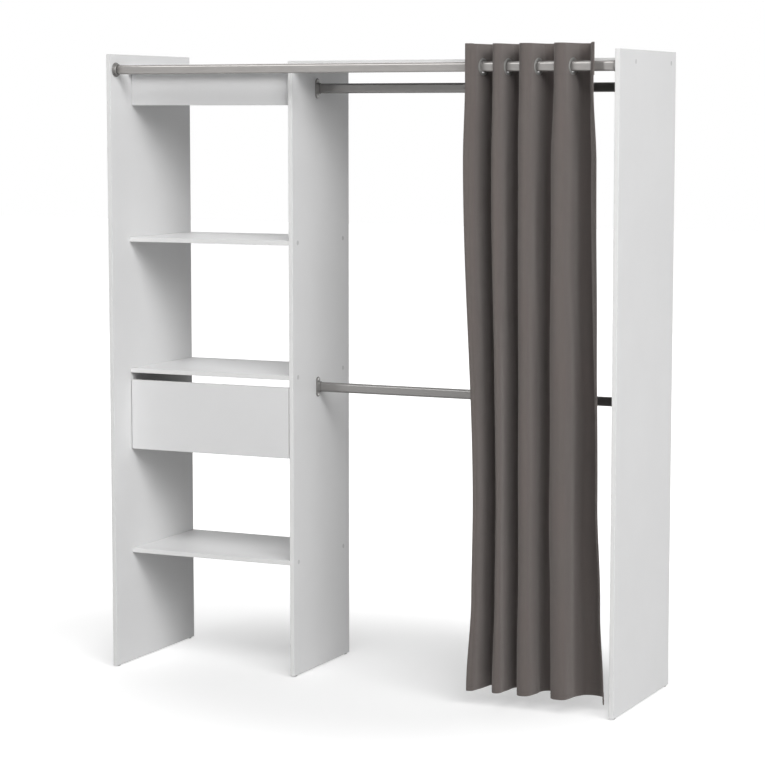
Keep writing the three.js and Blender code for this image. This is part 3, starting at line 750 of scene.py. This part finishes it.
def make_cap(node):
    """Cover cap about the X axis: a rounded rim, and a face that is hollowed by the square of the
    share of the radius."""
    centre, (height, _, width) = middle_of(node)
    radius, edge, hollow = width / 2, 0.45, 0.12
    sign = -1 if node.startswith("cap_left") else 1
    face = [(radius * share, height - hollow * (1 - share ** 2)) for share in (0.85, 0.6, 0.3)]
    profile = [(radius, 0.0)] + rounded_rim(radius, height, edge, 5) + face
    points, faces = turned_skin(profile, PLASTIC_SIDES)
    foot = centre - [sign * height / 2, 0, 0]
    stand_in(node, "_disc", (placed(points, *foot, sign), faces), "cap_plastic", "cap_plastic")


# Curtain. The cloth hangs in plan lines: each row of shares says where it stands across its spread,
# at its left edge, its eight crossings of the rail and its right edge.

RAIL_Y = -216.7
CURTAIN_LEFT = 392.35
CURTAIN_SPREAD = 468.0
CURTAIN_TOP = 2053.25
CURTAIN_HEM = 52.0
FOLD_HALF_DEPTH = 58.3
FOLD_LEAN = 0.045
FOLD_ROUND = 0.62
FREE_LEG_BEND = 0.4
TAPER_START = 0.5
TAPER = 0.1
FLAT_REACH = 1 / 6
FLAT_CORE = 0.6
FLAT_FADE = (0.06, 0.13)
KEY_ROWS = np.array([0.06, 0.18, 0.7, 0.85, 1.0])
STATIONS = CURTAIN_LEFT + CURTAIN_SPREAD * np.array([
    [0.013, 0.088, 0.184, 0.259, 0.363, 0.471, 0.602, 0.709, 0.825, 0.896],
    [0, 0.078, 0.175, 0.257, 0.355, 0.469, 0.583, 0.72, 0.845, 0.92],
    [0.078, 0.117, 0.224, 0.274, 0.376, 0.479, 0.588, 0.738, 0.895, 0.949],
    [0.068, 0.113, 0.217, 0.274, 0.374, 0.483, 0.596, 0.742, 0.925, 0.975],
    [0.032, 0.1, 0.194, 0.278, 0.37, 0.487, 0.603, 0.749, 0.959, 1],
])
CROSSINGS = 8
FOLDS_END = CROSSINGS * math.pi
PHASE_STEP = 1e-3
LAYER_GAP = 0.55
CLOTH_THICKNESS = 0.9
HEADER_FLAP = 96.0
HEM_FLAP = 15.0
SIDE_FLAP = 14.0
SIDE_FADE = (SIDE_FLAP + 2, SIDE_FLAP + 10)
FLAP_POINTS = 5
ROUND_POINTS = 7
CREASE_START = 110.0
CREASE_FADE = 420.0
CLOTH_COLUMNS = 290
EYELET_Z = 1983.45
EYELET_SIDES = 80
HOLE_RADIUS = 19.6
PLAN_POINTS = 6001
STITCH_RADIUS = 0.4
STITCH_ARCH = 0.3
STITCH_SIDES = 6
STITCH_RINGS = 5
STITCH_PITCH = 3.6
STITCH_GAP = 0.14


def smooth_share(value, low, high):
    """0 below low, 1 above high and three squares less two cubes of the share between."""
    t = np.clip((np.asarray(value, float) - low) / (high - low), 0, 1)
    return t * t * (3 - 2 * t)


def drop_share(z):
    """Share of the curtain's height that lies above a height."""
    return np.clip((CURTAIN_TOP - z) / (CURTAIN_TOP - CURTAIN_HEM), 0, 1)


def stations_at(row_share):
    """Stations of the plan line at each row's share of the height, eased between the key rows."""
    key = np.clip(np.searchsorted(KEY_ROWS, row_share, side="left") - 1, 0, len(KEY_ROWS) - 2)
    blend = smooth_share(row_share, KEY_ROWS[key], KEY_ROWS[key + 1])
    return STATIONS[key] + (STATIONS[key + 1] - STATIONS[key]) * blend[..., None]


def fold_y_share(phase):
    """How far the cloth stands off the rail at a phase: the cosine over its hypotenuse with a share
    of the sine, which is a wave with slightly flattened ridges."""
    across = np.cos(phase)
    return across / np.hypot(across, FOLD_ROUND * np.sin(phase))


def fold_x(stations, phase):
    """X of the cloth: from station to station with the phase, plus a lean by the sine of twice the
    phase. The first leg is only half a leg. Past the last crossing the cloth runs almost straight to
    the free edge."""
    place_on = phase / math.pi + 0.5
    last = stations.shape[-1] - 2
    index = np.clip(np.floor(place_on).astype(int), 0, last)
    skipped = np.where(index == 0, 0.5, 0.0)
    here = np.take_along_axis(stations, index[:, None], 1)[:, 0]
    there = np.take_along_axis(stations, index[:, None] + 1, 1)[:, 0]
    leaning = (place_on - index - skipped + FOLD_LEAN * np.sin(2 * phase)) / (1 - skipped)
    out = fold_y_share(phase)
    straight = out * (1 - FREE_LEG_BEND + FREE_LEG_BEND * out)
    return here + (there - here) * np.where(index == last, straight, leaning)


def fold_line(row_share, phase):
    """X and Y of the cloth for arrays of row shares and phases of the folds. A phase of half a turn
    leads from one crossing of the rail to the next. Near a crossing the stiff header is drawn onto
    the straight line between the two points at the ends of its flat part, and this fades out below."""
    stations = stations_at(row_share)
    depth = FOLD_HALF_DEPTH * (1 - TAPER * smooth_share(row_share, TAPER_START, 1))
    x, share = fold_x(stations, phase), fold_y_share(phase)
    crossing = np.clip(np.round(phase / math.pi + 0.5), 1, CROSSINGS)
    middle = (crossing - 0.5) * math.pi
    off = np.abs(phase - middle) / math.pi
    ends = [middle - FLAT_REACH * math.pi, middle + FLAT_REACH * math.pi]
    x0, x1 = (fold_x(stations, end) for end in ends)
    share0, share1 = (fold_y_share(end) for end in ends)
    chord = x0 + (x1 - x0) * (share - share0) / (share1 - share0)
    flat = 1 - smooth_share(off, FLAT_CORE * FLAT_REACH, FLAT_REACH)
    flat = flat * (1 - smooth_share(row_share, *FLAT_FADE))
    return x + (chord - x) * flat, RAIL_Y - depth * share


def fold_point(row_share, phase):
    """X and Y of the cloth and the direction of its plan line, which leads from a point just behind
    to a point just ahead."""
    x, y = fold_line(row_share, phase)
    x1, y1 = fold_line(row_share, np.minimum(phase + PHASE_STEP, FOLDS_END))
    x0, y0 = fold_line(row_share, np.maximum(phase - PHASE_STEP, 0))
    size = np.hypot(x1 - x0, y1 - y0)
    return x, y, (x1 - x0) / size, (y1 - y0) / size


def plan_line():
    """Phases of the plan line at half height, and how far along the line each of them lies."""
    phases = np.linspace(0, FOLDS_END, PLAN_POINTS)
    x, y = fold_line(np.full(phases.shape, 0.5), phases)
    return phases, np.concatenate([[0], np.cumsum(np.hypot(np.diff(x), np.diff(y)))])


PLAN_PHASES, PLAN_PLACES = plan_line()
CLOTH_WIDTH = PLAN_PLACES[-1]


def phase_at(place_on):
    """Phase of the folds at a place along the plan line."""
    return np.interp(place_on, PLAN_PLACES, PLAN_PHASES)


def eyelet_places():
    """Centre and direction of each ring: on the rail, square to the cloth where that crosses it. The
    direction is taken between the two ends of the line's flat part."""
    turns = np.arange(CROSSINGS) + 0.5
    top = np.zeros(CROSSINGS)
    before = np.stack(fold_line(top, (turns - FLAT_REACH) * math.pi), -1)
    after = np.stack(fold_line(top, (turns + FLAT_REACH) * math.pi), -1)
    along = after - before
    turn = np.arctan2(along[:, 1], along[:, 0]) - math.pi / 2
    return np.column_stack([(before + after) / 2, np.full(CROSSINGS, EYELET_Z)]), turn


def cloth_columns():
    """Columns of the cloth from the end of the left side hem to the end of the right one: place along
    the plan line, how far past its end, and offset to the outer side. A hem runs back along the
    inner side, goes round the edge in a half circle and becomes the cloth."""
    flap = np.linspace(SIDE_FLAP, 1.0, FLAP_POINTS)
    a = np.linspace(-math.pi / 2, math.pi / 2, ROUND_POINTS)
    round_past, round_off = -LAYER_GAP * np.cos(a), LAYER_GAP * np.sin(a)
    flap_flat, flap_off = np.zeros(FLAP_POINTS), np.full(FLAP_POINTS, -LAYER_GAP)
    place_on = np.concatenate([
        flap, np.zeros(ROUND_POINTS), np.linspace(0, CLOTH_WIDTH, CLOTH_COLUMNS)[1:-1],
        np.full(ROUND_POINTS, CLOTH_WIDTH), CLOTH_WIDTH - flap[::-1],
    ])
    main_flat, main_off = np.zeros(CLOTH_COLUMNS - 2), np.full(CLOTH_COLUMNS - 2, LAYER_GAP)
    past = np.concatenate([flap_flat, round_past, main_flat, -round_past[::-1], flap_flat])
    off = np.concatenate([flap_off, round_off, main_off, round_off[::-1], flap_off])
    return place_on, past, off


def cloth_rows():
    """Rows of the cloth from the end of the header's flap, over the top, down to the hem, round it
    and up to the end of the hem's flap: height, angle of the fold and which way the fold points.
    They lie closest in the header, where the holes are cut, and just above the hem."""
    margin = LAYER_GAP + CLOTH_THICKNESS / 2
    top, hem = CURTAIN_TOP - margin, CURTAIN_HEM + margin
    below_fold, below_header, above_fold, body_end, close_start = 2.0, 6, 0.8, 40, 33
    flap_rows, header_rows, body_rows, close_rows = 22, 24, 78, 13
    flap_top = top - np.linspace(HEADER_FLAP, below_fold, flap_rows)
    header = np.linspace(top - below_fold, top - HEADER_FLAP, header_rows)
    body = np.linspace(top - HEADER_FLAP - below_header, hem + body_end, body_rows)
    close = np.linspace(hem + close_start, hem + above_fold, close_rows)
    flap_hem = hem + np.linspace(1.0, HEM_FLAP, FLAP_POINTS)
    main = np.concatenate([header, body, close])
    a = np.linspace(-math.pi / 2, math.pi / 2, ROUND_POINTS)
    z = np.concatenate([
        flap_top, np.full(ROUND_POINTS, top), main, np.full(ROUND_POINTS, hem), flap_hem,
    ])
    angle = np.concatenate([
        np.full(len(flap_top), -math.pi / 2), a, np.full(len(main), math.pi / 2), a[::-1],
        np.full(len(flap_hem), -math.pi / 2),
    ])
    return z, angle, np.where(z > (top + hem) / 2, 1.0, -1.0)


def cloth_creases(along, z):
    """Small irregular waves of the cloth in millimetres, as a sum of slow sines of the place along the
    cloth and the height, which fade out in the stiff header."""
    drop = smooth_share(CURTAIN_TOP - CREASE_START - z, 0, CREASE_FADE)
    wander = 14 * np.sin(z / 310 + 0.7) + 9 * np.sin(z / 173 + 2.1)
    broad = 0.9 * np.sin((along + wander) / 13.5 + 0.4 * np.sin(z / 420))
    fine = 0.45 * np.sin((along - wander) / 7.3 + 1.3 + 0.8 * np.sin(z / 260 + 1.0))
    sway = 0.8 * np.sin(z / 95 + along / 55) * np.sin(along / 120 + 0.6)
    return drop * (broad + fine + sway)


def make_cloth():
    """The cloth as one sheet: rows by columns on the plan lines, with hems and the header turned over
    to its inner side. In a turned hem the offset goes round the hem's middle plane, so that at the
    corners the layers nest."""
    place_on, past, off = cloth_columns()
    z, angle, way = cloth_rows()
    rows, columns = len(z), len(place_on)

    def by_row(values):
        return np.repeat(values, columns)

    def by_column(values):
        return np.tile(values, rows)

    x, y, tx, ty = fold_point(by_row(drop_share(z)), by_column(phase_at(place_on)))
    near_side = np.minimum(place_on, CLOTH_WIDTH - place_on)
    in_hem = 1 - smooth_share(near_side, *SIDE_FADE)
    plane = by_column(-2 * LAYER_GAP * in_hem)
    reach = by_column(off) - plane
    height = by_row(z) + by_row(way) * np.abs(reach) * np.cos(by_row(angle))
    offset = plane + reach * np.sin(by_row(angle)) + cloth_creases(by_column(place_on), height)
    ahead = by_column(past)
    points = np.column_stack([x + tx * ahead + ty * offset, y + ty * ahead - tx * offset, height])
    points, faces, kept = cut_eyelet_holes(points, grid_faces(rows, columns))
    made = add_piece("curtain_cloth", points, faces, FINISHES["curtain_cloth"])
    steps = np.abs(np.diff(z)) + LAYER_GAP * np.abs(np.diff(angle))
    down = np.concatenate([[0], np.cumsum(steps)])
    add_flat_map(made, np.column_stack([by_column(place_on + past), by_row(down)])[kept] * MM)
    solid = made.modifiers.new("cloth_thickness", "SOLIDIFY")
    solid.thickness = CLOTH_THICKNESS * MM
    solid.offset = 0.0
    return seat(made, "hung_curtain", "curtain_cloth", "curtain")


def add_flat_map(made, flat):
    """The map that the weave reads: each corner of a face takes its point's place on the flat cloth."""
    layer = made.data.uv_layers.new(name="cloth")
    corners = np.zeros(len(made.data.loops), int)
    made.data.loops.foreach_get("vertex_index", corners)
    layer.data.foreach_set("uv", flat[corners].ravel())


def cut_eyelet_holes(points, faces):
    """Leaves out the faces inside each ring's hole and draws the points at its rim onto the circle.
    Returns the points and faces that are left, and the numbers that those points had."""
    near_axis, near_side = 6, 60
    points = points.copy()
    keep_face = np.ones(len(faces), bool)
    for centre, turn in zip(*eyelet_places()):
        axis = np.array([math.cos(turn), math.sin(turn), 0.0])
        side = np.array([-math.sin(turn), math.cos(turn), 0.0])
        away = points - centre
        deep, across, up = away @ axis, away @ side, away[:, 2]
        near = (np.abs(deep) < near_axis) & (np.abs(across) < near_side) & (np.abs(up) < near_side)
        reach = np.hypot(across, up)
        inside = near[faces].all(1) & (reach[faces].mean(1) < HOLE_RADIUS)
        keep_face &= ~inside
        on_kept, on_cut = np.zeros(len(points), bool), np.zeros(len(points), bool)
        on_kept[np.unique(faces[~inside])] = True
        on_cut[np.unique(faces[inside])] = True
        pull = near & on_kept & (on_cut | (reach < HOLE_RADIUS))
        scale = HOLE_RADIUS / np.maximum(reach, TINY)
        moved = centre + np.outer(deep, axis) + np.outer(across * scale, side)
        moved[:, 2] = centre[2] + up * scale
        points[pull] = moved[pull]
    faces = faces[keep_face]
    used = np.unique(faces)
    number = np.full(len(points), -1)
    number[used] = np.arange(len(used))
    return points[used], number[faces], used


def make_eyelet(index, centre, turn):
    """Ring of two pressed flanges on a neck. The section is a closed line of radius and place along
    the axis: the flange swells between its rims, rolls over the outer edge and into the bore."""
    bore, rim, groove, outer, swell = 17.3, 26.5, 1.45, 3.15, 0.9
    start, end = bore + 1.0, rim - 0.5
    flange = [
        (start + (end - start) * t, outer - swell + swell * math.sin(t * math.pi) ** 0.7)
        for t in np.linspace(0, 1, 9)
    ]
    edge = [(rim, outer - 1.3), (rim - 0.1, groove + 0.05), (end, groove)]
    front = flange + edge + [(bore + 1.6, groove)]
    back = [(radius, -x) for radius, x in front[::-1]]
    into_bore = [(bore, outer - 1.8), (bore + 0.3, outer - 1.3)]
    out_of_bore = [(radius, -x) for radius, x in into_bore[::-1]]
    section = front + back + out_of_bore + into_bore
    points, faces = turned_skin(section, EYELET_SIDES, capped=False)
    c, s = math.cos(turn), math.sin(turn)
    skin = (points @ np.array([[c, s, 0], [-s, c, 0], [0, 0, 1]]) + centre, faces)
    return stand_in(f"eyelet_{index}", "_ring", skin, "eyelet_metal", "eyelet_metal")


def stitch_skin(starts, ends, outward):
    """Short threads between arrays of points: each is a few rings on a shallow arch, whose height is
    a sine. Its girth is the root of a sine that is cut short at both ends, where flat faces close
    it."""
    t, cut = np.linspace(0, 1, STITCH_RINGS), 0.06
    arch = STITCH_ARCH * np.sin(t * math.pi)
    girth = STITCH_RADIUS * np.sqrt(np.sin(math.pi * (cut + (1 - 2 * cut) * t)))
    along = ends - starts
    tangent = along / np.linalg.norm(along, axis=1, keepdims=True)
    binormal = np.cross(tangent, outward)
    t, arch = t[None, :, None], arch[None, :, None]
    line = starts[:, None] + along[:, None] * t + outward[:, None] * arch
    c, s = unit_circle(full_turn(STITCH_SIDES)).T[:, None, None, :, None]
    ring = c * outward[:, None, None] + s * binormal[:, None, None]
    points = line[:, :, None] + ring * girth[None, :, None, None]
    return joined([loft(thread) for thread in points])


def cloth_point(place_on, z, lift):
    """Points on the outer face of the cloth, lifted off it, and the outward direction there."""
    x, y, tx, ty = fold_point(drop_share(z), phase_at(place_on))
    off = LAYER_GAP + lift + cloth_creases(place_on, z)
    return np.column_stack([x + ty * off, y - tx * off, z]), np.column_stack([ty, -tx, 0 * tx])


def make_stitches():
    """Rows of stitches along the hem, under the header and down both side hems."""
    margin, from_flap, from_side, clear = 4.0, 1.5, 2.0, 0.05
    across = np.arange(margin, CLOTH_WIDTH - margin, STITCH_PITCH)
    down = np.arange(CURTAIN_HEM + margin, CURTAIN_TOP - margin, STITCH_PITCH)
    pieces = []
    for name, place_on, z in (
        ("stitches_hem", across, CURTAIN_HEM + HEM_FLAP - from_flap),
        ("stitches_header", across, CURTAIN_TOP - HEADER_FLAP + from_flap),
        ("stitches_left", SIDE_FLAP - from_side, down),
        ("stitches_right", CLOTH_WIDTH - SIDE_FLAP + from_side, down),
    ):
        place_on, z = np.broadcast_arrays(place_on, z)
        points, outward = cloth_point(place_on, z, CLOTH_THICKNESS / 2 + clear)
        gap = (points[1:] - points[:-1]) * STITCH_GAP
        skin = stitch_skin(points[:-1] + gap, points[1:] - gap, (outward[:-1] + outward[1:]) / 2)
        made = add_piece(name, *skin, FINISHES["thread"])
        pieces.append(seat(made, "hung_curtain", "curtain_cloth"))
    return pieces


def make_curtain():
    """The cloth with its rings and stitches, which hang from the rail."""
    cloth = make_cloth()
    centres, turns = eyelet_places()
    rings = [make_eyelet(i + 1, centres[i], turns[i]) for i in range(CROSSINGS)]
    stitches = make_stitches()


# Floor, light and camera

FLOOR_TONE = 0.6
FLOOR_HALF = 30000.0
LAMP_REACH = 14.0
LAMP_BALL_HEIGHT = 1.3
LAMP_AIM_BELOW = 0.1
LAMP_SIZE = (9.0, 4.8)
LAMPS = (
    ("front_low", 15, 20, 195), ("front_high", 10, 50, 580), ("left_high", -25, 45, 62),
    ("side_low", 48, 22, 260), ("side_high", 48, 34, 960), ("right_low", 62, 22, 450),
    ("right_back", 98, 25, 100), ("back_left", -135, 33, 270), ("back_right", 160, 35, 130),
)


def seen_directly(tree):
    """1 for rays that come straight from the camera or by way of a mirror or glass."""
    rays = place(tree, "LightPath").outputs
    seen = sums(tree, "MAXIMUM", rays["Is Camera Ray"], rays["Is Glossy Ray"])
    return sums(tree, "MAXIMUM", seen, rays["Is Transmission Ray"])


def make_floor():
    """A wide pale floor. Where it is seen directly it is lifted towards white with the distance from
    the piece, so that it has no horizon. The lift is lowest close to the piece, which is painted shade
    on the floor around it, and it is raised behind the piece, which is painted light in the shadow
    there."""
    made, tree, shader = new_material("floor_paint")
    where = own_place(tree)
    tone = varied(tree, noise(tree, where, 1.3, 2.0, 0.5), grey(FLOOR_TONE), 0.99, 1.01)
    distance = place(tree, "VectorMath", {0: where}, operation="LENGTH").outputs["Value"]
    depth = place(tree, "SeparateXYZ", {0: where}).outputs[1]
    # Painted light: behind the piece the floor is lifted by up to a fifth more, which lightens the
    # shadow that falls there.
    behind = eased(tree, depth, 0.1, 1.2, 0.0, 0.2)
    # Painted shade: close to the piece the lift is lowest, so the floor around it is darker even where
    # no shadow falls.
    around = eased(tree, distance, 0.5, 1.3, 0.4, 0.65)
    beyond = eased(tree, distance, 1.3, 3.0, 0.0, 0.35)
    lift = sums(tree, "ADD", sums(tree, "ADD", behind, around), beyond, clamp=True)
    lift = sums(tree, "MULTIPLY", seen_directly(tree), lift)
    glow = place(tree, "CombineColor", {i: lift for i in range(3)}).outputs[0]
    put(tree, shader, Base_Color=tone, Roughness=0.9, Specular_IOR_Level=0.1,
        Emission_Color=glow, Emission_Strength=1.0)
    corners = np.array([(-1, -1, 0), (1, -1, 0), (1, 1, 0), (-1, 1, 0)]) * FLOOR_HALF
    add_piece("floor", corners, [(0, 1, 2, 3)], made, False)


def make_surround():
    """A world that is white where it is seen directly, and adds a little soft light."""
    world = bpy.data.worlds.new("surround")
    bpy.context.scene.world = world
    world.use_nodes = True
    tree = world.node_tree
    tree.nodes.clear()
    soft, plain = (
        place(tree, "Background", {"Color": (1, 1, 1, 1), "Strength": strength}).outputs[0]
        for strength in (0.03, 1.0)
    )
    feeds = {0: seen_directly(tree), 1: soft, 2: plain}
    both = place(tree, "MixShader", feeds).outputs[0]
    place(tree, "OutputWorld", {0: both})


def add_lamp(name, around, up, watts):
    """A soft lamp on a wide ball about the piece, turned around and up by degrees as a view is, that
    looks to a point just below the middle of the ball."""
    around, up = math.radians(around), math.radians(up)
    light = bpy.data.lights.new(name, "AREA")
    light.shape = "RECTANGLE"
    light.size, light.size_y = LAMP_SIZE
    light.energy = watts
    made = bpy.data.objects.new(name, light)
    bpy.context.scene.collection.objects.link(made)
    level, rise = LAMP_REACH * math.cos(up), LAMP_REACH * math.sin(up)
    made.location = (level * math.sin(around), -level * math.cos(around), LAMP_BALL_HEIGHT + rise)
    made.rotation_euler = Euler((math.atan2(level, rise + LAMP_AIM_BELOW), 0, around))
    made.visible_camera = False
    return made


def make_camera():
    """The camera as it was solved from the straight edges of the boards in the photo."""
    data = bpy.data.cameras.new("photo_view")
    data.sensor_fit = "HORIZONTAL"
    data.sensor_width = 36.0
    data.lens = 117.05
    data.clip_end = 200.0
    made = bpy.data.objects.new("photo_view", data)
    bpy.context.scene.collection.objects.link(made)
    made.location = (3.38925, -7.2804, 1.84735)
    made.rotation_euler = Euler((math.radians(83.79), 0, math.radians(25.01)))
    bpy.context.scene.camera = made


make_camera()
make_floor()
make_surround()
for lamp in LAMPS:
    add_lamp(*lamp)
# This lamp lights no surface. It only shows as the thin highlights of metal and gloss.
add_lamp("glint", -25, 22, 640).visible_diffuse = False
bpy.context.scene.view_settings.view_transform = "Standard"

finish_boards()
make_rails()
for start, make in (("runner", make_runner), ("glide", make_glide), ("cap_", make_cap)):
    for node in [n for n in nodes if n.startswith(start)]:
        make(node)
make_curtain()
